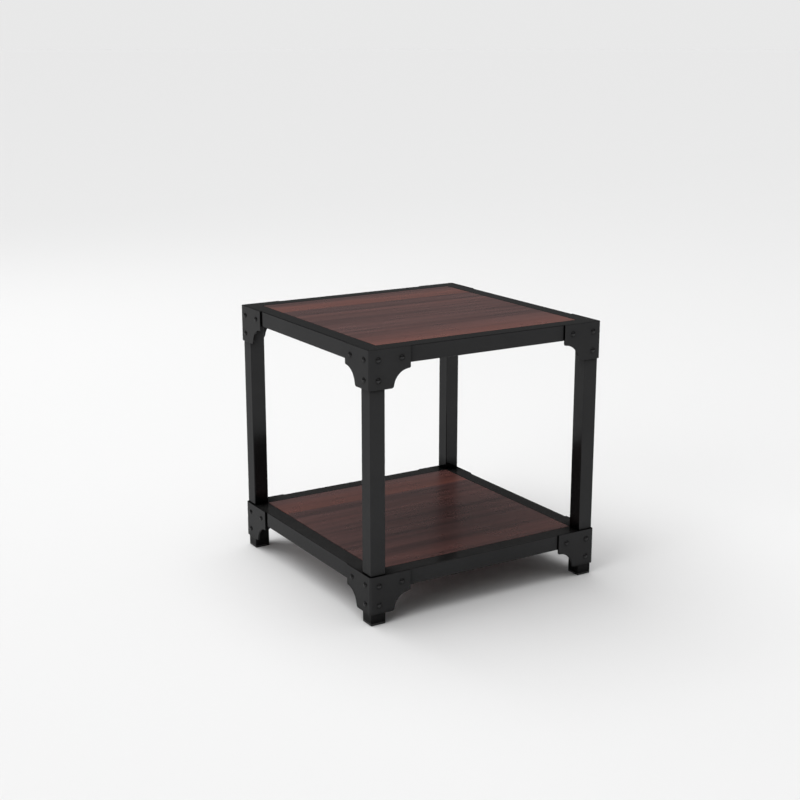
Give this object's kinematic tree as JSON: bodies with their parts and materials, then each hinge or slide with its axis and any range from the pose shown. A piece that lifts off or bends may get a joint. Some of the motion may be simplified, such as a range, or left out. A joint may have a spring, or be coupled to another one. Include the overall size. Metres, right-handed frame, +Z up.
{
  "type": "end table",
  "caption": "Square end table with a lower shelf: black square-tube frame, flush reddish-brown wood boards and scalloped corner brackets with domed rivets.",
  "frame": {"origin": "on the floor, under the middle of the table", "axes": "+Z up, +X to the right along the boards' grain, +Y to the back"},
  "size_m": [0.506, 0.506, 0.5],
  "materials": {
    "frame_coating": "black powder coat with a fine texture, satin",
    "bracket_coating": "black powder coat with a fine texture, satin, a little worn at the edges",
    "rivet_coating": "black lacquer, satin to semi-gloss",
    "clip_coating": "black powder coat",
    "top_wood": "reddish-brown stained board, grain from left to right, matt lacquer",
    "shelf_wood": "reddish-brown stained board, grain from left to right, matt lacquer",
    "foot_plastic": "black moulded plastic, matt",
    "screw_steel": "zinc-plated steel"
  },
  "bodies": {
    "root": {"leg_front_left": "frame_coating", "foot_front_left": "foot_plastic", "leg_front_right": "frame_coating", "foot_front_right": "foot_plastic", "leg_back_right": "frame_coating", "foot_back_right": "foot_plastic", "leg_back_left": "frame_coating", "foot_back_left": "foot_plastic", "top_rail_front": "frame_coating", "top_rail_right": "frame_coating", "top_rail_back": "frame_coating", "top_rail_left": "frame_coating", "top_panel": "top_wood", "top_panel_clips": "clip_coating", "top_panel_screws": "screw_steel", "top_bracket_front_left": "bracket_coating", "top_rivets_front_left": "rivet_coating", "top_bracket_front_right": "bracket_coating", "top_rivets_front_right": "rivet_coating", "top_bracket_back_right": "bracket_coating", "top_rivets_back_right": "rivet_coating", "top_bracket_back_left": "bracket_coating", "top_rivets_back_left": "rivet_coating", "shelf_rail_front": "frame_coating", "shelf_rail_right": "frame_coating", "shelf_rail_back": "frame_coating", "shelf_rail_left": "frame_coating", "shelf_panel": "shelf_wood", "shelf_panel_clips": "clip_coating", "shelf_panel_screws": "screw_steel", "shelf_bracket_front_left": "bracket_coating", "shelf_rivets_front_left": "rivet_coating", "shelf_bracket_front_right": "bracket_coating", "shelf_rivets_front_right": "rivet_coating", "shelf_bracket_back_right": "bracket_coating", "shelf_rivets_back_right": "rivet_coating", "shelf_bracket_back_left": "bracket_coating", "shelf_rivets_back_left": "rivet_coating"}
  },
  "joints": []
}
